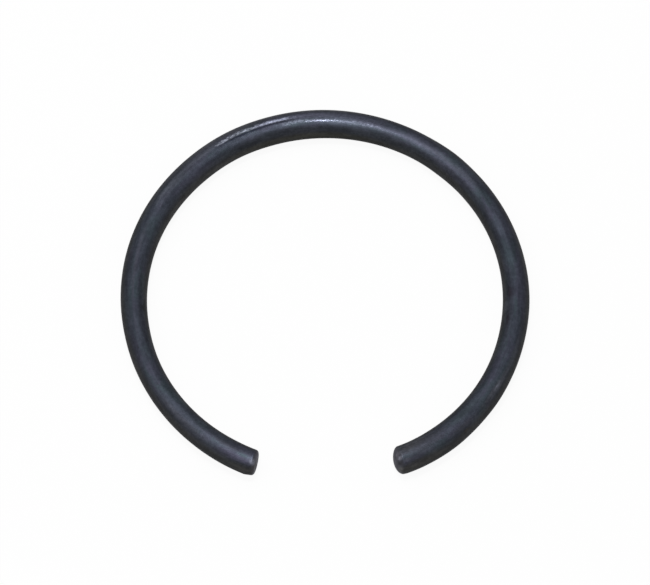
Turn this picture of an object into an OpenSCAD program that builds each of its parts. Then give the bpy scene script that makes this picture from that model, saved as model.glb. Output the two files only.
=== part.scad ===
// Round-wire retaining ring: one open coil of spring wire that snaps into a
// groove round a bore. The ring lies flat. Its axis is Z, the centreline of its
// wire is in the plane z = 0, and the gap between its ends faces -Y.

/* [Ring] */
// Outside diameter of the ring when nothing squeezes it
ring_od = 30.5; // [22:0.5:60]
// Diameter of the round wire
wire_d = 2; // [1.2:0.1:3.2]
// Width of the gap between the cut faces, at the inside of the ring
end_gap = 10; // [5:0.1:14]

/* [Left end] */
// Turn of the cut face off square to the wire, which makes its outer edge reach further
left_skew = 6; // [0:0.5:12]
// Angle by which the cut face looks upwards
left_lean = 3.5; // [0:0.5:8]
// Width that the bevel takes off the rim of the cut face
left_bevel = 0.1; // [0.05:0.01:0.3]
// Radius that rounds the edge between the cut face and the bevel
left_rim_r = 0.3; // [0.1:0.01:0.45]

/* [Right end] */
// Turn of the cut face off square to the wire, which makes its outer edge reach further
right_skew = 4; // [0:0.5:12]
// Angle by which the cut face looks upwards
right_lean = 8; // [0:0.5:8]
// Width that the bevel takes off the rim of the cut face
right_bevel = 0.18; // [0.05:0.01:0.3]
// Radius that rounds the edge between the cut face and the bevel
right_rim_r = 0.4; // [0.1:0.01:0.45]

/* [Both ends] */
// Angle between the bevels and the wire's own direction
bevel_angle = 36; // [25:1:50]

/* [Hidden] */
$fn = 96;

wire_r = wire_d / 2;
// Radius of the wire's centreline
coil_r = ring_od / 2 - wire_r;
// Angle at which the rounding of a rim crosses the face and the bevel
rim_crease = 12;

// Half of the angle that the gap takes up along the wire's centreline, for a cut
// face turned by skew: its inner edge is then end_gap / 2 from the gap's middle.
function half_gap(skew) =
    let (out = coil_r - wire_r, along = wire_r * tan(skew))
    asin(end_gap / 2 / norm([out, along])) - atan2(along, out);

// The wire, coiled from the right end round the back to the left end, with a wire
// radius of spare length beyond each cut
module coil() {
    spare = atan2(wire_r, coil_r);
    start = half_gap(right_skew) - 90 - spare;
    turn = 360 - half_gap(right_skew) - half_gap(left_skew) + 2 * spare;
    rotate([0, 0, start])
        rotate_extrude(angle = turn)
            translate([coil_r, 0]) circle(r = wire_r);
}

// Half of the section of the nose that an end keeps, with the wire's axis along y:
// the cut face on y = 0, the bevel widening behind it, and their corner rounded
module nose_section(bevel, rim_r, depth) {
    corner = [wire_r - bevel, 0];
    inset = rim_r * cos(rim_crease);
    centre = [corner.x - inset * (1 - sin(bevel_angle)) / cos(bevel_angle), -inset];
    difference() {
        polygon([
            [0, 0],
            corner,
            corner + depth * [tan(bevel_angle), -1],
            [0, -depth],
        ]);
        difference() {
            polygon([
                centre,
                centre + 2 * inset * [0, 1],
                centre + 2 * (corner - centre),
                centre + 2 * inset * [cos(bevel_angle), sin(bevel_angle)],
            ]);
            translate(centre) circle(r = rim_r);
        }
    }
}

// Takes the spare wire off the right end, down to a bevelled face that is turned by
// skew and looks upwards by lean
module end_trimmer(skew, lean, bevel, rim_r) {
    half = half_gap(skew);
    depth = wire_d;
    width = 2 * wire_d;
    translate([coil_r * sin(half), -coil_r * cos(half), 0])
        rotate([0, 0, 180 + half - skew])
            rotate([0, 90 - lean, 0])
                difference() {
                    translate([-width / 2, -width / 2, -0.8 * depth]) cube([width, width, 2 * depth]);
                    rotate_extrude() nose_section(bevel, rim_r, depth);
                }
}

module retaining_ring() {
    color([0.16, 0.18, 0.21])
        difference() {
            coil();
            end_trimmer(right_skew, right_lean, right_bevel, right_rim_r);
            mirror([1, 0, 0]) end_trimmer(left_skew, left_lean, left_bevel, left_rim_r);
        }
}

retaining_ring();
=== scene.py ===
"""Round-wire retaining ring of blackened spring steel, lying flat on a pale floor.

The ring is one swept surface in metres, in the CAD frame: its axis is Z, its wire's
centreline is in the plane z = 0 and the gap between its ends faces -Y.
"""

import math

import bpy
import numpy as np
from mathutils import Matrix, Vector


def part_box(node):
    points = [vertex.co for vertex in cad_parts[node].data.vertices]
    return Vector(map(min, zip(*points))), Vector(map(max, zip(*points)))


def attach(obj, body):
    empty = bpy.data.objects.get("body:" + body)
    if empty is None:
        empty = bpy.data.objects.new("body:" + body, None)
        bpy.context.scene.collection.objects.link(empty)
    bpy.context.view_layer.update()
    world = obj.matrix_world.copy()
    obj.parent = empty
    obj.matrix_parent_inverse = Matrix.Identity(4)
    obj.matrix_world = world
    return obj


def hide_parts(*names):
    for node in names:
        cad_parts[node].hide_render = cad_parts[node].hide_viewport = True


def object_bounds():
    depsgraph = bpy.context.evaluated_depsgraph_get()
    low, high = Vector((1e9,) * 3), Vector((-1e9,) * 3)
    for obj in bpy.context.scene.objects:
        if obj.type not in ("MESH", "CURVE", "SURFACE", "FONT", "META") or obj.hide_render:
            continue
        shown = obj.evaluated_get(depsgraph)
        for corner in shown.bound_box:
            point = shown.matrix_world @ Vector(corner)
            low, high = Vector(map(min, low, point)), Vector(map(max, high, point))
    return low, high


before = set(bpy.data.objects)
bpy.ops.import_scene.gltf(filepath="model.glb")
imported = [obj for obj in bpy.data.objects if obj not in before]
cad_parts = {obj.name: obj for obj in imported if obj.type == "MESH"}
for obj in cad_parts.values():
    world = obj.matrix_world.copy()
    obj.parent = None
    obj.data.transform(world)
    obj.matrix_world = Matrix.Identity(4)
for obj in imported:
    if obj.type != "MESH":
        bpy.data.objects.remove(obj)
cad_low, cad_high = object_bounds()

MM = 0.001

# ---------------------------------------------------------------- sizes of the ring
ring_low, ring_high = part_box("retaining_ring")
WIRE_R = (ring_high.z - ring_low.z) / 2
COIL_R = ring_high.x - WIRE_R
# Each end: half of the gap's angle at the tip of its nose, turn and lean of the nose in
# degrees, its depth, how square its section is on the inside and on the outside (2 is
# round), how gently it leaves the wire, how far the wire's end bends inwards, and how
# much a flat takes off the outside
RIGHT_END = {"half": 20.95, "skew": 8.2, "lean": 5.2, "depth": 0.55 * MM, "square": (1.95, 1.9),
             "gentle": 1.9, "nip": 0.165 * MM, "flat": 0.08}
LEFT_END = {"half": 21.22, "skew": 7.7, "lean": 2.2, "depth": 0.31 * MM, "square": (6.8, 3.2),
            "gentle": 2.7, "nip": 0.0, "flat": 0.19}
FLAT_RUN = 0.72 * MM  # length of the flat on the outside of each end
FLAT_EDGE = 1.5  # how quickly the flat dies out round the wire, as a power of the cosine
NIP_TURN = math.radians(13)  # how far along the coil the bent part reaches
# Parts of the coil where rolling and cropping left the wire wider than it is thick, or
# narrower: angle round the ring, how far to each side in degrees, and share of the width
WIDER_PARTS = (
    (-69, 38, 0.084), (-52, 9, 0.012), (-48, 26, 0.028), (-32, 8, 0.010), (-14, 14, -0.008),
    (22, 24, -0.013), (50, 9, 0.030), (92, 34, 0.026), (114, 60, 0.076), (152, 40, 0.026),
    (205, 40, -0.055), (243, 16, 0.018),
)
# Parts of the coil that stand outside its circle: angle, half width, and distance
OUTER_PARTS = (
    (-59, 10, -0.030 * MM), (-33, 8, 0.010 * MM), (-12, 16, -0.014 * MM), (119, 14, 0.028 * MM),
    (160, 22, 0.014 * MM), (190, 12, -0.016 * MM), (218, 45, 0.030 * MM),
)

# ---------------------------------------------------------------- grid of the ring
COLUMNS = 144  # points round the wire
TOP_CROWDING = 0.55  # how much closer together the columns are on top of the wire
NOSE_ROWS = 56  # rows over each nose
EASE_ROWS = 26  # rows in which the slanted end rows turn into square rows
EASE_TURN = math.radians(13)  # how far along the coil that takes
EASE_CROWDING = 1.5  # how much closer together those rows are near the nose, as a power
BODY_ROWS = 470  # square rows round the back
CURVE_SAMPLES = 4000  # points on a nose's curve, from which its rows are spaced evenly

# Groove that a tool pressed along the top of the wire, to the left of the back: angle
# round the wire, half width there, depth, and first and last angle round the ring
GROOVE_AT = math.radians(78)
GROOVE_HALF = math.radians(8)
GROOVE_DEPTH = 0.05 * MM
GROOVE_FROM = math.radians(97.5)
GROOVE_TO = math.radians(124)
GROOVE_ENDS = 0.7  # how blunt its ends are, as a power of the sine
# Its depth is uneven: the mean share of the depth, and the waves along the groove, each
# with its share of the depth, the radians it turns from end to end, and its shift
GROOVE_EVEN = 0.8
GROOVE_WAVES = ((0.13, 41, 0), (0.10, 97, 1))


def wrap(angle):
    """The same angle between -pi and pi."""
    return (angle + math.pi) % (2 * math.pi) - math.pi


def column_angles():
    """Angles round the wire, from straight outwards towards +Z, one for each column:
    even steps, drawn towards the top by a cosine."""
    even = np.linspace(0, 2 * math.pi, COLUMNS, endpoint=False)
    return even + TOP_CROWDING * np.cos(even)


def groove_depth(turn, section):
    """Depth of the pressed groove: a bell curve across the wire, times a sine arch to
    the power GROOVE_ENDS along it that two waves make uneven."""
    across = np.exp(-((wrap(section - GROOVE_AT) / GROOVE_HALF) ** 2))
    run = np.clip((turn % (2 * math.pi) - GROOVE_FROM) / (GROOVE_TO - GROOVE_FROM), 0, 1)
    uneven = GROOVE_EVEN
    for share, rate, shift in GROOVE_WAVES:
        uneven = uneven + share * np.sin(rate * run + shift)
    return GROOVE_DEPTH * across * np.sin(math.pi * run) ** GROOVE_ENDS * uneven


def along_parts(turn, parts):
    """Sum over the parts at an angle round the ring: each rises in a smooth step from its
    half width to its full amount at its middle, and falls again."""
    total = 0
    for middle, half, amount in parts:
        left = np.clip(1 - np.abs(wrap(turn - math.radians(middle))) / math.radians(half), 0, 1)
        total = total + amount * left * left * (3 - 2 * left)
    return total


def on_coil(turn, section, reach=1.0, nip=0.0):
    """Points of the wire's surface, or of the inside of a nose where reach is below 1:
    turn is the angle round the ring from +X, section the angle round the wire, reach the
    share of the wire's radius, and nip how far the centreline is bent inwards. The
    centreline is the coil's circle, moved out at OUTER_PARTS, and the section is a
    circle less the groove, stretched across the coil at WIDER_PARTS."""
    radius = reach * (WIRE_R - groove_depth(turn, section))
    centre = COIL_R + along_parts(turn, OUTER_PARTS) - nip
    out = centre + radius * (1 + along_parts(turn, WIDER_PARTS)) * np.cos(section)
    return np.stack([out * np.cos(turn), out * np.sin(turn), radius * np.sin(section)], -1)


def nose_rows(depth, square, gentle):
    """Rows of a nose behind its tip: their share of the wire's radius at each column and
    their distance behind the tip. The nose is a blunt superellipse: at the angle a from
    its tip, its radius is the wire's times sin(a) to the power 2 / square, and its
    distance behind the tip is depth times one less cos(a) to the power 2 / gentle, where
    square goes from its first value inside to its second outside by a cosine. Rows are
    at even steps along the curve of the mean of the two."""
    mean = sum(square) / 2
    angle = np.linspace(0, 1, CURVE_SAMPLES) ** (mean / 2) * math.pi / 2
    reach = np.sin(angle) ** (2 / mean)
    behind = depth * (1 - np.cos(angle) ** (2 / gentle))
    along = np.append(0, np.cumsum(np.hypot(WIRE_R * np.diff(reach), np.diff(behind))))
    angle = np.interp(np.linspace(0, along[-1], NOSE_ROWS + 1)[1:], along, angle)
    each = square[0] + (square[1] - square[0]) * (1 + np.cos(column_angles())) / 2
    return np.sin(angle)[:, None] ** (2 / each), depth * (1 - np.cos(angle) ** (2 / gentle))


def end_rows(side, half, skew, lean, depth, square, gentle, nip, flat):
    """Rows of the end on one side, 1 right or -1 left, from its nose to a square row
    EASE_TURN behind its tip, the tip itself, and each row's share of the nose. The nose
    is slanted by skew outwards and by lean upwards, and behind it the slant fades to
    nothing. The flat takes off a share of the radius that grows evenly over FLAT_RUN
    towards the tip, times the section's cosine to the power FLAT_EDGE on the outside. The
    bend inwards fades as the square of what is left of NIP_TURN."""
    section = column_angles()[None, :]
    reach, behind = nose_rows(depth, square, gentle)
    step = np.linspace(0, 1, EASE_ROWS + 1)[1:] ** EASE_CROWDING
    reach = np.concatenate([reach, np.ones((EASE_ROWS, COLUMNS))])
    fade = np.append(np.ones(NOSE_ROWS), 1 - step)[:, None]
    behind = np.append(behind, depth + step * (EASE_TURN * COIL_R - depth))[:, None]
    outwards = WIRE_R * math.tan(math.radians(skew))
    upwards = WIRE_R * math.tan(math.radians(lean))
    slant = upwards * np.sin(section) - outwards * np.cos(section)
    from_tip = (behind + fade * reach * slant) / COIL_R
    beyond = (from_tip * COIL_R + outwards) / FLAT_RUN
    taken = flat * np.clip(1 - beyond, 0, 1) * np.clip(np.cos(section), 0, 1) ** FLAT_EDGE
    bend = nip * np.clip(1 - from_tip / NIP_TURN, 0, 1) ** 2
    first = tip_turn(side, half)
    rows = on_coil(first + side * from_tip, section, reach * (1 - taken), bend)
    tip = on_coil(np.array(first), np.array(0.0), 0.0, nip)
    share = np.append(1 - np.linspace(0, 1, NOSE_ROWS), np.zeros(EASE_ROWS))
    return rows, tip, share


def tip_turn(side, half):
    """Angle round the ring of the tip on one side, half degrees from the gap's middle."""
    return math.radians(half - 90 if side > 0 else 270 - half)


def ring_mesh():
    """The whole ring as one closed grid: the right end's rows, square rows round the
    back at even turns, and the left end's rows backwards. The two poles are the tips of
    the noses. The attribute "wire" gives each point's place on the wire in millimetres:
    the distance along it from the back towards the left end, outwards, and up. The
    attribute "nose" is 1 at the tips and 0 from the noses' rims on."""
    right, right_tip, right_share = end_rows(1, **RIGHT_END)
    left, left_tip, left_share = end_rows(-1, **LEFT_END)
    start = tip_turn(1, RIGHT_END["half"]) + EASE_TURN
    stop = tip_turn(-1, LEFT_END["half"]) - EASE_TURN
    turn = np.linspace(start, stop, BODY_ROWS + 2)[1:-1, None]
    rows = np.concatenate([right, on_coil(turn, column_angles()[None, :]), left[::-1]])
    share = np.concatenate([right_share, np.zeros(BODY_ROWS), left_share[::-1]])
    nose_share = np.append(np.repeat(share, COLUMNS), [1, 1])
    count = len(rows)
    vertices = np.concatenate([rows.reshape(-1, 3), [right_tip, left_tip]])
    index = np.arange(count * COLUMNS).reshape(count, COLUMNS)
    beside = np.roll(index, -1, 1)
    quads = np.stack([index[:-1], index[1:], beside[1:], beside[:-1]], -1).reshape(-1, 4)
    pole = count * COLUMNS
    first = np.stack([index[0], beside[0], np.full(COLUMNS, pole)], -1)
    last = np.stack([beside[-1], index[-1], np.full(COLUMNS, pole + 1)], -1)
    mesh = bpy.data.meshes.new("retaining_ring_wire")
    mesh.from_pydata(vertices.tolist(), [], quads.tolist() + first.tolist() + last.tolist())
    mesh.update()
    mesh.shade_smooth()
    from_back = wrap(np.arctan2(vertices[:, 1], vertices[:, 0]) - math.pi / 2)
    out = np.hypot(vertices[:, 0], vertices[:, 1]) - COIL_R
    wire = np.stack([COIL_R * from_back, out, vertices[:, 2]], -1) / MM
    place = mesh.attributes.new("wire", "FLOAT_VECTOR", "POINT")
    place.data.foreach_set("vector", wire.astype(np.float32).ravel())
    nose = mesh.attributes.new("nose", "FLOAT", "POINT")
    nose.data.foreach_set("value", nose_share.astype(np.float32))
    return mesh


ring = bpy.data.objects.new("ring", ring_mesh())
bpy.context.scene.collection.objects.link(ring)
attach(ring, "root")
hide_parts("retaining_ring")


# ---------------------------------------------------------------- material
def fill(tree, socket, value):
    """Links an input to another node's output, or sets it to a plain value."""
    if isinstance(value, bpy.types.NodeSocket):
        tree.links.new(value, socket)
    else:
        socket.default_value = value


def add(tree, kind, settings=None, *values, **named):
    """A new node of a kind, with its settings, with values or links for its first inputs
    in order, and for others by name, where underscores stand for spaces."""
    made = tree.nodes.new(kind)
    for name, value in (settings or {}).items():
        setattr(made, name, value)
    for number, value in enumerate(values):
        fill(tree, made.inputs[number], value)
    for name, value in named.items():
        fill(tree, made.inputs[name.replace("_", " ")], value)
    return made


def calc(tree, operation, *values):
    """A Math node's result."""
    return add(tree, "ShaderNodeMath", {"operation": operation}, *values).outputs[0]


def vec(tree, operation, *values):
    """A Vector Math node, whose result is its output Vector or Value."""
    return add(tree, "ShaderNodeVectorMath", {"operation": operation}, *values)


def ramp(tree, value, low, high, to_low=0.0, to_high=1.0):
    """A value eased from to_low at low to to_high at high."""
    eased = {"interpolation_type": "SMOOTHSTEP"}
    return add(tree, "ShaderNodeMapRange", eased, value, low, high, to_low, to_high).outputs[0]


def noise(tree, place, size, detail=2.0, rough=0.5):
    """Noise between 0 and 1, with blotches about size millimetres across along each
    axis of place."""
    scaled = vec(tree, "DIVIDE", place, size).outputs[0]
    looks = {"Scale": 1.0, "Detail": detail, "Roughness": rough}
    return add(tree, "ShaderNodeTexNoise", Vector=scaled, **looks).outputs[0]


def pattern(tree, place, size, between, gives, shift=(0, 0, 0), detail=2.0, rough=0.5):
    """Noise eased so that it gives one value where it is low and another where it is
    high, between two levels. A shift of the place gives it a pattern of its own."""
    shifted = vec(tree, "ADD", place, shift).outputs[0]
    return ramp(tree, noise(tree, shifted, size, detail, rough), *between, *gives)


def blend(tree, share, first, second, kind="MIX"):
    """The colour first, turned into second by share."""
    made = tree.nodes.new("ShaderNodeMix")
    made.data_type = "RGBA"
    made.blend_type = kind
    for number, value in ((0, share), (6, first), (7, second)):
        fill(tree, made.inputs[number], value)
    return made.outputs[2]


def effect_group(name, inputs, outputs):
    """A node group with named inputs and outputs, given as name and socket type."""
    group = bpy.data.node_groups.new(name, "ShaderNodeTree")
    for label, kind in inputs:
        group.interface.new_socket(label, in_out="INPUT", socket_type=f"NodeSocket{kind}")
    for label, kind in outputs:
        group.interface.new_socket(label, in_out="OUTPUT", socket_type=f"NodeSocket{kind}")
    return group, group.nodes.new("NodeGroupInput").outputs, group.nodes.new("NodeGroupOutput").inputs


RAG_SIZE = (0.2, 0.07, 0.07)  # blotches of the noise that makes a spot's edge ragged, mm


def spot_group():
    """Mask of one spot or strip: 1 at Middle, easing to 0 on the ellipsoid of Half Size
    about it, whose edge noise makes ragged."""
    group, given, result = effect_group(
        "spot",
        [("Place", "Vector"), ("Middle", "Vector"), ("Half Size", "Vector"),
         ("Raggedness", "Float"), ("Core", "Float")],
        [("Mask", "Float")],
    )
    off = vec(group, "SUBTRACT", given["Place"], given["Middle"]).outputs[0]
    reach = vec(group, "LENGTH", vec(group, "DIVIDE", off, given["Half Size"]).outputs[0]).outputs[1]
    rag = calc(group, "SUBTRACT", noise(group, given["Place"], RAG_SIZE), 0.5)
    reach = calc(group, "ADD", reach, calc(group, "MULTIPLY", rag, given["Raggedness"]))
    group.links.new(ramp(group, reach, 1.0, given["Core"]), result["Mask"])
    return group


spot_effect = spot_group()


def spot(tree, place, middle, half_size, raggedness, core):
    """The mask of one spot, from the group spot."""
    given = {"Place": place, "Middle": middle, "Half Size": half_size,
             "Raggedness": raggedness, "Core": core}
    made = add(tree, "ShaderNodeGroup", {"node_tree": spot_effect}, **given)
    return made.outputs["Mask"]


# Colours of the oxide: plain, its teal and violet clouds, the sides and underside of the
# wire, painted greyer and less blue as the reflection of warmer surroundings, and the cut
# noses; and of the steel where it is bare, in a scrape and along a line at the back, where
# it is partly painted highlight
PLAIN = (0.0262, 0.0300, 0.0400, 1)
TEAL = (0.0252, 0.0322, 0.0395, 1)
VIOLET = (0.0288, 0.0302, 0.0425, 1)
SIDES_PAINTED_REFLECTION = (0.0299, 0.0303, 0.0313, 1)
NOSES = (0.0750, 0.0740, 0.0880, 1)
BARE_STEEL_AND_HIGHLIGHT = (0.29, 0.31, 0.40, 1)
SCRAPED = (0.285, 0.305, 0.365, 1)

# Marks on the wire: middle and half size in millimetres along the wire, outwards and up,
# raggedness of the edge, how much of it is full strength, share of its colour, and that
# colour. Near the back they are painted light and shade: the outside painted paler as the
# reflection of the bright room, a painted glow outside the highlight, and the inside painted
# darker and more olive as shade and the floor's reflection, with painted paler stretches on
# both sides towards the left.
BACK_PAINTED_LIGHT = (
    ((4.0, 0.95, 0.4), (13.0, 0.55, 0.9), 1.0, 0.0, 0.9, (0.052, 0.054, 0.064, 1)),
    ((-5.5, -0.1, 1.0), (5.0, 0.35, 0.5), 1.0, 0.2, 0.8, (0.0300, 0.0315, 0.0440, 1)),
    ((0.0, -0.80, 0.6), (12.0, 0.42, 0.8), 1.0, 0.2, 0.8, (0.0215, 0.0240, 0.0300, 1)),
    ((1.0, 0.36, 0.9), (6.5, 0.42, 0.8), 1.0, 0.0, 0.9, (0.058, 0.060, 0.084, 1)),
    ((3.0, -0.50, 0.87), (6.0, 0.24, 0.36), 1.0, 0.2, 0.5, (0.0195, 0.0212, 0.0275, 1)),
    ((6.4, 0.62, 0.78), (2.3, 0.20, 0.36), 0.6, 0.3, 0.6, (0.0560, 0.0590, 0.0720, 1)),
    ((2.0, -1.0, 0.15), (10.5, 0.50, 0.62), 0.8, 0.3, 0.85, (0.0312, 0.0308, 0.0272, 1)),
    ((-0.5, -1.0, 0.0), (8.0, 0.25, 0.30), 1.0, 0.2, 0.8, (0.0195, 0.0192, 0.0175, 1)),
    ((3.5, -0.68, 0.73), (9.0, 0.26, 0.40), 1.0, 0.2, 0.45, (0.0185, 0.0195, 0.0240, 1)),
    ((13.0, -0.97, 0.25), (9.0, 0.32, 0.44), 1.0, 0.2, 0.65, (0.0440, 0.0438, 0.0440, 1)),
    ((10.5, 0.72, 0.68), (8.0, 0.30, 0.40), 1.0, 0.2, 0.55, (0.0500, 0.0520, 0.0610, 1)),
)
# Right end, painted light and shade: a paler inner shoulder, an even top, an olive outside as
# the painted reflection of warmer surroundings with a darker strip, a rim painted pale where
# it mirrors the room, and two painted highlights
RIGHT_END_PAINTED_LIGHT = (
    ((-38.0, -0.45, 0.8), (2.6, 0.7, 0.6), 1.0, 0.0, 0.8, (0.054, 0.054, 0.060, 1)),
    ((-37.6, 0.40, 0.93), (1.9, 0.24, 0.4), 1.0, 0.2, 0.7, (0.036, 0.037, 0.050, 1)),
    ((-37.0, 0.0, 1.0), (2.4, 0.42, 0.5), 1.0, 0.3, 0.8, (0.0285, 0.0300, 0.0390, 1)),
    ((-37.9, 0.88, 0.35), (2.8, 0.55, 0.7), 1.0, 0.2, 0.6, (0.0415, 0.0410, 0.0385, 1)),
    ((-37.8, 0.76, 0.65), (2.0, 0.19, 0.26), 1.0, 0.2, 0.5, (0.0200, 0.0200, 0.0205, 1)),
    ((-38.75, 0.36, 0.93), (0.50, 0.20, 0.36), 0.8, 0.2, 0.6, (0.0540, 0.0560, 0.0700, 1)),
    ((-39.3, 0.66, 0.25), (0.4, 0.32, 0.45), 0.5, 0.0, 0.6, (0.098, 0.097, 0.090, 1)),
    ((-39.25, 0.45, 0.68), (0.32, 0.30, 0.36), 0.5, 0.2, 0.7, (0.034, 0.035, 0.039, 1)),
    ((-39.2, -0.35, 0.80), (0.32, 0.45, 0.36), 0.5, 0.2, 0.8, (0.125, 0.122, 0.145, 1)),
    ((-39.20, 0.05, 0.91), (0.31, 0.26, 0.35), 0.3, 0.0, 0.64, (0.205, 0.208, 0.250, 1)),
)
# Left end, painted light and shade: a dark, a teal and a pale patch that shape the sheen,
# an olive outside as the painted reflection of warmer surroundings, a dark rim, and two
# painted highlights on the shoulder
LEFT_END_PAINTED_LIGHT = (
    ((37.0, -0.1, 1.0), (1.6, 0.36, 0.5), 1.0, 0.2, 0.8, (0.0270, 0.0285, 0.0370, 1)),
    ((38.4, 0.12, 1.0), (0.9, 0.30, 0.5), 0.6, 0.0, 0.6, (0.0235, 0.0345, 0.0390, 1)),
    ((38.2, 0.45, 0.90), (2.2, 0.34, 0.45), 1.0, 0.2, 0.85, (0.0385, 0.0380, 0.0560, 1)),
    ((38.7, 0.86, 0.3), (1.3, 0.40, 0.6), 1.0, 0.2, 0.6, (0.0395, 0.0390, 0.0370, 1)),
    ((39.25, -0.55, 0.8), (0.22, 0.30, 0.35), 0.5, 0.0, 0.4, (0.018, 0.019, 0.018, 1)),
    ((39.42, 0.45, 0.45), (0.30, 0.60, 0.6), 0.5, 0.3, 0.9, (0.041, 0.040, 0.040, 1)),
    ((39.36, 0.34, 0.93), (0.48, 0.32, 0.38), 0.3, 0.0, 0.60, (0.150, 0.158, 0.190, 1)),
    ((39.38, 0.16, 0.97), (0.24, 0.22, 0.35), 0.3, 0.0, 0.5, (0.150, 0.156, 0.180, 1)),
)
# Broad patches on the two sides: paler, darker, teal and violet, partly the oxide's own
# uneven tone and partly painted sheen and shade that move and narrow the highlight
SIDE_TONES_AND_SHEEN = (
    ((12.6, 0.34, 0.93), (3.4, 0.30, 0.4), 1.0, 0.2, 0.85, (0.052, 0.056, 0.070, 1)),
    ((24.5, -0.48, 0.87), (4.5, 0.28, 0.4), 1.0, 0.2, 0.7, (0.0195, 0.0215, 0.0280, 1)),
    ((24.0, 0.06, 1.0), (4.2, 0.16, 0.4), 1.0, 0.2, 0.65, (0.0330, 0.0355, 0.0480, 1)),
    ((34.2, 0.05, 1.0), (2.6, 0.36, 0.5), 1.0, 0.2, 0.7, (0.0222, 0.0252, 0.0332, 1)),
    ((-20.6, 0.00, 1.0), (1.2, 0.20, 0.40), 1.0, 0.2, 0.5, (0.0245, 0.0325, 0.0380, 1)),
    ((-23.6, -0.05, 1.0), (1.3, 0.14, 0.40), 1.0, 0.2, 0.6, (0.0245, 0.0330, 0.0385, 1)),
    ((-26.7, -0.25, 0.97), (1.2, 0.20, 0.40), 1.0, 0.2, 0.6, (0.0250, 0.0335, 0.0390, 1)),
    ((-25.3, -0.50, 0.86), (1.2, 0.24, 0.36), 1.0, 0.2, 0.5, (0.0190, 0.0200, 0.0255, 1)),
    ((-33.8, 0.50, 0.86), (1.5, 0.26, 0.4), 1.5, 0.2, 0.7, (0.0385, 0.0400, 0.0500, 1)),
    ((-36.0, -0.34, 0.94), (2.4, 0.24, 0.4), 1.0, 0.2, 0.6, (0.0370, 0.0385, 0.0490, 1)),
    ((-13.5, -0.55, 0.83), (8.5, 0.36, 0.36), 1.0, 0.3, 0.7, (0.0190, 0.0205, 0.0270, 1)),
    ((-23.6, -0.42, 0.91), (5.0, 0.34, 0.40), 1.0, 0.3, 0.7, (0.0195, 0.0210, 0.0275, 1)),
    ((-28.0, 0.62, 0.78), (4.6, 0.30, 0.42), 1.0, 0.2, 0.7, (0.0370, 0.0388, 0.0470, 1)),
    ((-30.3, 0.50, 0.86), (2.2, 0.26, 0.40), 1.0, 0.2, 0.6, (0.0550, 0.0570, 0.0690, 1)),
    ((-10.0, -0.08, 1.0), (4.5, 0.22, 0.40), 1.0, 0.2, 0.6, (0.0345, 0.0365, 0.0480, 1)),
    ((-12.3, 0.12, 0.99), (1.6, 0.16, 0.40), 1.0, 0.2, 0.6, (0.0350, 0.0370, 0.0485, 1)),
    ((12.6, 0.02, 1.0), (3.2, 0.22, 0.40), 1.0, 0.2, 0.6, (0.0380, 0.0400, 0.0520, 1)),
    ((17.4, 0.22, 0.97), (2.2, 0.14, 0.40), 1.0, 0.2, 0.5, (0.0370, 0.0392, 0.0510, 1)),
    ((19.5, 0.10, 1.0), (4.0, 0.18, 0.40), 1.0, 0.2, 0.65, (0.0370, 0.0392, 0.0510, 1)),
    ((24.5, -0.36, 0.93), (2.2, 0.22, 0.36), 1.0, 0.2, 0.5, (0.0190, 0.0205, 0.0270, 1)),
    ((23.3, 0.50, 0.86), (2.6, 0.24, 0.40), 1.0, 0.2, 0.4, (0.0205, 0.0218, 0.0285, 1)),
    ((33.0, 0.44, 0.89), (3.4, 0.34, 0.40), 1.0, 0.2, 0.75, (0.0420, 0.0440, 0.0560, 1)),
    ((-33.0, -0.20, 0.98), (2.0, 0.40, 0.45), 1.0, 0.2, 0.6, (0.0275, 0.0350, 0.0410, 1)),
    ((-10.2, 0.05, 1.0), (1.6, 0.30, 0.40), 1.0, 0.2, 0.6, (0.0300, 0.0365, 0.0455, 1)),
    ((-5.0, -0.42, 0.91), (1.6, 0.22, 0.36), 1.0, 0.2, 0.6, (0.0245, 0.0252, 0.0345, 1)),
    ((20.0, 0.28, 0.96), (1.4, 0.20, 0.40), 1.0, 0.2, 0.5, (0.0275, 0.0345, 0.0425, 1)),
)
# Stains, a pale wedge between two of them, a scratch and a rusty speck on the right, and
# two dark specks on the left
STAINS = (
    ((-22.2, -0.26, 0.96), (0.60, 0.42, 0.45), 0.8, 0.3, 0.85, (0.0170, 0.0175, 0.0240, 1)),
    ((-22.2, -0.52, 0.85), (0.75, 0.24, 0.36), 1.0, 0.2, 0.8, (0.0150, 0.0132, 0.0175, 1)),
    ((-24.4, -0.52, 0.85), (0.80, 0.18, 0.30), 0.8, 0.2, 0.8, (0.0150, 0.0135, 0.0175, 1)),
    ((-23.35, -0.74, 0.67), (0.62, 0.32, 0.42), 0.6, 0.2, 0.8, (0.0440, 0.0465, 0.0570, 1)),
    ((-29.9, 0.50, 0.87), (0.6, 0.09, 0.4), 1.5, 0.0, 0.15, BARE_STEEL_AND_HIGHLIGHT),
    ((-33.9, 0.80, 0.55), (0.5, 0.16, 0.35), 2.0, 0.0, 0.5, (0.045, 0.036, 0.026, 1)),
    ((23.4, -0.70, 0.70), (0.5, 0.20, 0.40), 2.0, 0.2, 0.7, (0.014, 0.014, 0.015, 1)),
    ((26.6, 0.30, 0.95), (0.18, 0.12, 0.35), 1.0, 0.0, 0.4, (0.014, 0.014, 0.015, 1)),
)
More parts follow.
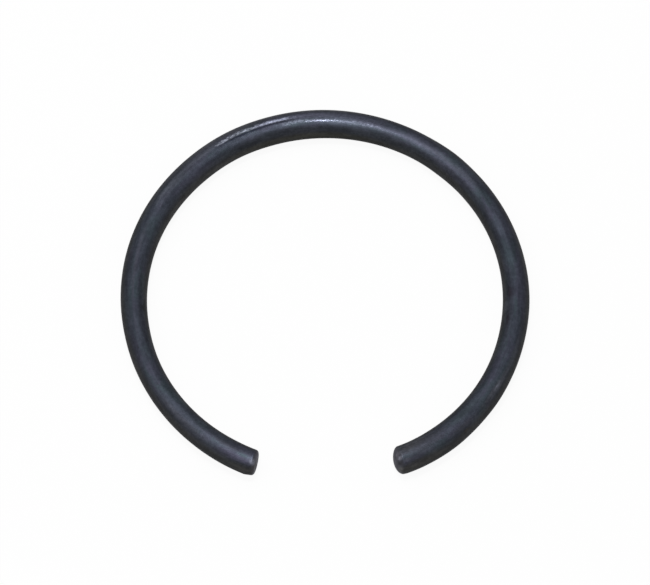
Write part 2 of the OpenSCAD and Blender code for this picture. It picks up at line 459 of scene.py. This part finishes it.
# Groove: the outside beyond it painted paler as sheen, its inner wall painted dark as shade,
# and the scrape of bare steel along it, from its right end to its left
GROOVE_WEAR_AND_SHADE = (
    ((9.6, 0.36, 0.93), (2.8, 0.30, 0.4), 1.0, 0.2, 0.8, (0.053, 0.057, 0.072, 1)),
    ((5.6, 0.085, 1.0), (3.5, 0.09, 0.5), 2.6, 0.2, 0.68, (0.011, 0.013, 0.025, 1)),
    ((3.0, 0.08, 1.0), (0.7, 0.075, 0.5), 1.0, 0.2, 0.5, (0.011, 0.013, 0.025, 1)),
    ((3.6, 0.34, 0.95), (1.8, 0.16, 0.5), 1.6, 0.4, 0.52, BARE_STEEL_AND_HIGHLIGHT),
    ((2.95, 0.32, 0.95), (0.6, 0.13, 0.5), 1.0, 0.2, 0.22, BARE_STEEL_AND_HIGHLIGHT),
    ((6.3, 0.35, 0.93), (2.2, 0.20, 0.5), 1.8, 0.3, 0.29, SCRAPED),
    ((7.90, 0.29, 0.95), (0.8, 0.15, 0.5), 1.0, 0.2, 0.50, SCRAPED),
)
# A band inside the scrape painted bright as highlight, a line of bare steel at the back,
# partly real burnish and partly painted highlight where the key's highlight falls, and bare
# flecks beyond it that are partly painted glints
BARE_LINE_AND_HIGHLIGHT = (
    ((2.0, -0.06, 1.0), (2.2, 0.17, 0.5), 1.0, 0.0, 0.12, BARE_STEEL_AND_HIGHLIGHT),
    ((2.6, -0.20, 0.98), (1.0, 0.07, 0.5), 1.0, 0.2, 0.07, BARE_STEEL_AND_HIGHLIGHT),
    ((0.3, -0.13, 1.0), (1.65, 0.095, 0.5), 1.2, 0.3, 0.26, BARE_STEEL_AND_HIGHLIGHT),
    ((-1.7, -0.13, 1.0), (1.6, 0.20, 0.5), 3.2, 0.2, 0.06, BARE_STEEL_AND_HIGHLIGHT),
    ((-3.4, -0.17, 1.0), (1.9, 0.18, 0.5), 2.6, 0.2, 0.055, BARE_STEEL_AND_HIGHLIGHT),
)
# All of them, each laid over those before it
MARKS = (
    BACK_PAINTED_LIGHT + RIGHT_END_PAINTED_LIGHT + LEFT_END_PAINTED_LIGHT + SIDE_TONES_AND_SHEEN + STAINS + GROOVE_WEAR_AND_SHADE
    + BARE_LINE_AND_HIGHLIGHT
)


# Patterns of the finish: size of the blotches in millimetres, the levels of the noise
# between which it eases, what it gives there, and its shift in millimetres
TEAL_CLOUDS = {"size": (2.6, 1.0, 1.0), "between": (0.47, 0.62), "gives": (0.0, 0.9)}
VIOLET_CLOUDS = {"size": (2.0, 0.8, 0.8), "between": (0.48, 0.62), "gives": (0.0, 0.9),
                 "shift": (37, 11, 5)}
CRUMBS = {"size": (0.26, 0.06, 0.06), "between": (0.36, 0.64), "gives": (0.25, 1.8),
          "shift": (3, 9, 2)}
MOTTLING = {"size": (0.28, 0.28, 0.28), "between": (0.25, 0.75), "gives": (0.86, 1.14),
            "shift": (5, 17, 3), "rough": 0.6}
STREAKS = {"size": (1.9, 0.34, 0.34), "between": (0.35, 0.65), "gives": (0.86, 1.14),
           "shift": (11, 5, 23)}
# Grain: size of its blotches, detail and roughness of its noise, and how it changes the
# colour's level
GRAIN = {"size": (0.10, 0.10, 0.10), "detail": 3.0, "rough": 0.6}
GRAIN_BETWEEN = (0.2, 0.8)
GRAIN_GIVES = (0.9, 1.1)
# Heights between which the top's colour turns into the sides' painted reflection, in millimetres
PAINTED_REFLECTION_HEIGHTS = (0.97, 0.42)
# Share of the way to the tip in which the noses turn grey, and how grey they get
NOSE_BETWEEN = (0.0, 0.25)
NOSE_GREY = 0.8


def oxide(tree, wire, nose):
    """Colour of the oxide: plain with teal and violet clouds, greyer on the sides and the
    underside of the wire as a painted reflection of warmer surroundings, and grey on the noses."""
    height = add(tree, "ShaderNodeSeparateXYZ", None, wire).outputs[2]
    colour = blend(tree, pattern(tree, wire, **TEAL_CLOUDS), PLAIN, TEAL)
    colour = blend(tree, pattern(tree, wire, **VIOLET_CLOUDS), colour, VIOLET)
    colour = blend(tree, ramp(tree, height, *PAINTED_REFLECTION_HEIGHTS), colour, SIDES_PAINTED_REFLECTION)
    return blend(tree, ramp(tree, nose, *NOSE_BETWEEN, 0.0, NOSE_GREY), colour, NOSES)


def with_marks(tree, wire, colour):
    """The colour with all the marks laid over it, many of them painted light and shade, and the
    mask of the bare ones, some of which stand in for painted highlight, which a fine noise
    breaks up."""
    broken = pattern(tree, wire, **CRUMBS)
    bare_and_highlight = 0.0
    for middle, half_size, raggedness, core, share, tint in MARKS:
        mask = spot(tree, wire, middle, half_size, raggedness, core)
        mark = calc(tree, "MULTIPLY", mask, share)
        if tint in (BARE_STEEL_AND_HIGHLIGHT, SCRAPED):
            mark = calc(tree, "MULTIPLY", mark, broken)
            bare_and_highlight = calc(tree, "MAXIMUM", bare_and_highlight, mark)
        colour = blend(tree, mark, colour, tint)
    return colour, bare_and_highlight


def with_mottling(tree, wire, spatial, grain, colour):
    """The colour made lighter and darker by grain, mottling, and streaks along the wire."""
    level = ramp(tree, grain, *GRAIN_BETWEEN, *GRAIN_GIVES)
    level = calc(tree, "MULTIPLY", level, pattern(tree, spatial, **MOTTLING))
    level = calc(tree, "MULTIPLY", level, pattern(tree, wire, **STREAKS))
    levels = add(tree, "ShaderNodeCombineColor", None, level, level, level).outputs[0]
    return blend(tree, 1.0, colour, levels, "MULTIPLY")


ROUGHNESS = 0.362  # of the oxide, where the grain is even
GRAIN_ROUGHNESS = 0.2  # how much the grain varies it
BARE_POLISH = 0.1  # how much smoother bare steel is
# Relief: size and height in millimetres of the slow swells and of the draw lines along the
# wire, and height of the grain
SWELL_SIZE = (3.0, 0.8, 0.8)
SWELL_HEIGHT = 0.02
LINE_SIZE = (2.2, 0.07, 0.07)
LINE_HEIGHT = 0.001
GRAIN_HEIGHT = 0.0015


def steel_roughness(tree, grain, bare_and_highlight):
    """Roughness of the steel, which grain varies and which is less where it is bare."""
    varied = calc(tree, "MULTIPLY", calc(tree, "SUBTRACT", grain, 0.5), GRAIN_ROUGHNESS)
    varied = calc(tree, "ADD", ROUGHNESS, varied)
    return calc(tree, "SUBTRACT", varied, calc(tree, "MULTIPLY", bare_and_highlight, BARE_POLISH))


def steel_relief(tree, wire, grain):
    """Normal of the surface with its swells, grain and draw lines."""
    swells = calc(tree, "MULTIPLY", noise(tree, wire, SWELL_SIZE, 1.0), SWELL_HEIGHT)
    lines = calc(tree, "MULTIPLY", noise(tree, wire, LINE_SIZE), LINE_HEIGHT)
    height = calc(tree, "ADD", swells, calc(tree, "MULTIPLY", grain, GRAIN_HEIGHT))
    height = calc(tree, "ADD", height, lines)
    return add(tree, "ShaderNodeBump", Strength=1.0, Distance=MM, Height=height).outputs[0]


def blackened_steel():
    """Black oxide on drawn spring wire, oiled: dark blue-grey satin with cloudy tints, fine
    grain and draw lines, greyer noses, and the marks, among them a bare scrape, a bare line
    and a few bare flecks along the top. The sides' colour and many of the marks are painted
    light and shade: painted reflections, sheen, highlights, and shade in the groove. Places
    are in millimetres on the wire for what follows it, and in the ring's own space for what is
    the same all ways."""
    steel = bpy.data.materials.new("blackened_spring_steel")
    steel.use_nodes = True
    tree = steel.node_tree
    shader = tree.nodes["Principled BSDF"]
    wire = add(tree, "ShaderNodeAttribute", {"attribute_name": "wire"}).outputs["Vector"]
    nose = add(tree, "ShaderNodeAttribute", {"attribute_name": "nose"}).outputs["Fac"]
    metres = add(tree, "ShaderNodeTexCoord").outputs["Object"]
    spatial = vec(tree, "MULTIPLY", metres, (1 / MM, 1 / MM, 1 / MM)).outputs[0]
    grain = noise(tree, spatial, **GRAIN)

    colour, bare_and_highlight = with_marks(tree, wire, oxide(tree, wire, nose))
    colour = with_mottling(tree, wire, spatial, grain, colour)
    tangent = add(tree, "ShaderNodeTangent", {"direction_type": "RADIAL", "axis": "Z"})
    shader.inputs["Metallic"].default_value = 1
    shader.inputs["Specular Tint"].default_value = (0.65, 0.65, 0.66, 1)
    shader.inputs["Anisotropic"].default_value = 0.8
    shader.inputs["Anisotropic Rotation"].default_value = 0.25
    tree.links.new(colour, shader.inputs["Base Color"])
    tree.links.new(steel_roughness(tree, grain, bare_and_highlight), shader.inputs["Roughness"])
    tree.links.new(steel_relief(tree, wire, grain), shader.inputs["Normal"])
    tree.links.new(tangent.outputs[0], shader.inputs["Tangent"])
    return steel


ring.data.materials.append(blackened_steel())


def seen_white(tree):
    """Two values: 1 for rays straight from the camera, else 0, and 1 for rays that metal
    or glass sends on, else 0."""
    path = add(tree, "ShaderNodeLightPath")
    sent_on = calc(tree, "MAXIMUM", path.outputs["Is Glossy Ray"], path.outputs["Is Transmission Ray"])
    return path.outputs["Is Camera Ray"], sent_on


# ---------------------------------------------------------------- floor
FLOOR_HALF = 3.0  # half of its side
# How much of the floor is plain white over its shadow, for the camera and in reflections
FLOOR_WHITE_SHARE = 0.93
MIRRORED_WHITE_SHARE = 0.5
floor_mesh = bpy.data.meshes.new("floor")
corners = [
    (x * FLOOR_HALF, y * FLOOR_HALF, ring_low.z)
    for x, y in ((-1, -1), (1, -1), (1, 1), (-1, 1))
]
floor_mesh.from_pydata(corners, [], [(0, 1, 2, 3)])
floor = bpy.data.objects.new("floor", floor_mesh)
bpy.context.scene.collection.objects.link(floor)


def pale_floor():
    """Pale matt floor, seen as white with a faint shadow."""
    paper = bpy.data.materials.new("pale_floor")
    paper.use_nodes = True
    tree = paper.node_tree
    tree.nodes.clear()
    matt = add(tree, "ShaderNodeBsdfDiffuse", Color=(0.9, 0.9, 0.9, 1))
    white = add(tree, "ShaderNodeEmission", Color=(1, 1, 1, 1), Strength=1.0)
    seen, sent_on = seen_white(tree)
    seen_share = calc(tree, "MULTIPLY", seen, FLOOR_WHITE_SHARE)
    mirrored_share = calc(tree, "MULTIPLY", sent_on, MIRRORED_WHITE_SHARE)
    share = calc(tree, "MAXIMUM", seen_share, mirrored_share)
    mixed = add(tree, "ShaderNodeMixShader", None, share, matt.outputs[0], white.outputs[0])
    add(tree, "ShaderNodeOutputMaterial", Surface=mixed.outputs[0])
    return paper


floor.data.materials.append(pale_floor())

# ---------------------------------------------------------------- light
ROOM_LIGHT = 0.45  # strength of the white room on matt surfaces
world = bpy.data.worlds.new("studio")
bpy.context.scene.world = world
world.use_nodes = True
room = world.node_tree.nodes["Background"]
room.inputs["Color"].default_value = (1, 1, 1, 1)
white = calc(world.node_tree, "MAXIMUM", *seen_white(world.node_tree))
strength = ramp(world.node_tree, white, 0.0, 1.0, ROOM_LIGHT, 1.0)
world.node_tree.links.new(strength, room.inputs["Strength"])


def lamp(name, direction, distance, width, height, power):
    """A soft white lamp, width by height in metres, power in watts, at distance along
    direction and facing the origin."""
    data = bpy.data.lights.new(name, "AREA")
    data.shape = "RECTANGLE"
    data.size = width
    data.size_y = height
    data.energy = power
    lamp_object = bpy.data.objects.new(name, data)
    lamp_object.visible_camera = False
    toward = Vector(direction).normalized()
    lamp_object.location = toward * distance
    lamp_object.rotation_mode = "QUATERNION"
    lamp_object.rotation_quaternion = toward.to_track_quat("Z", "Y")
    bpy.context.scene.collection.objects.link(lamp_object)


lamp("softbox", (-0.32, 0.15, 0.935), distance=0.40, width=0.40, height=0.40, power=0.57)
lamp("key", (-0.05, 0.138, 0.99), distance=0.38, width=0.10, height=0.03, power=0.48)

# ---------------------------------------------------------------- camera
# Its angles in degrees: above the ring's plane, from -Y towards +X, and of roll; its
# distance from the middle of the ring's box in metres; its lens and sensor in millimetres
ELEVATION = 66.97
AZIMUTH = -0.99
ROLL = 0.735
DISTANCE = 1.2
LENS = 891.5
SENSOR_WIDTH = 36
camera_data = bpy.data.cameras.new("camera")
camera_data.lens = LENS
camera_data.sensor_width = SENSOR_WIDTH
camera = bpy.data.objects.new("camera", camera_data)
azimuth, elevation = math.radians(AZIMUTH), math.radians(ELEVATION)
level = math.cos(elevation)
back = Vector((math.sin(azimuth) * level, -math.cos(azimuth) * level, math.sin(elevation)))
roll = Matrix.Rotation(math.radians(ROLL), 3, "Z").to_quaternion()
aim = (cad_low + cad_high) / 2
camera.location = aim + back * DISTANCE
camera.rotation_mode = "QUATERNION"
camera.rotation_quaternion = (-back).to_track_quat("-Z", "Y") @ roll
bpy.context.scene.collection.objects.link(camera)
bpy.context.scene.camera = camera
bpy.context.scene.view_settings.view_transform = "Standard"
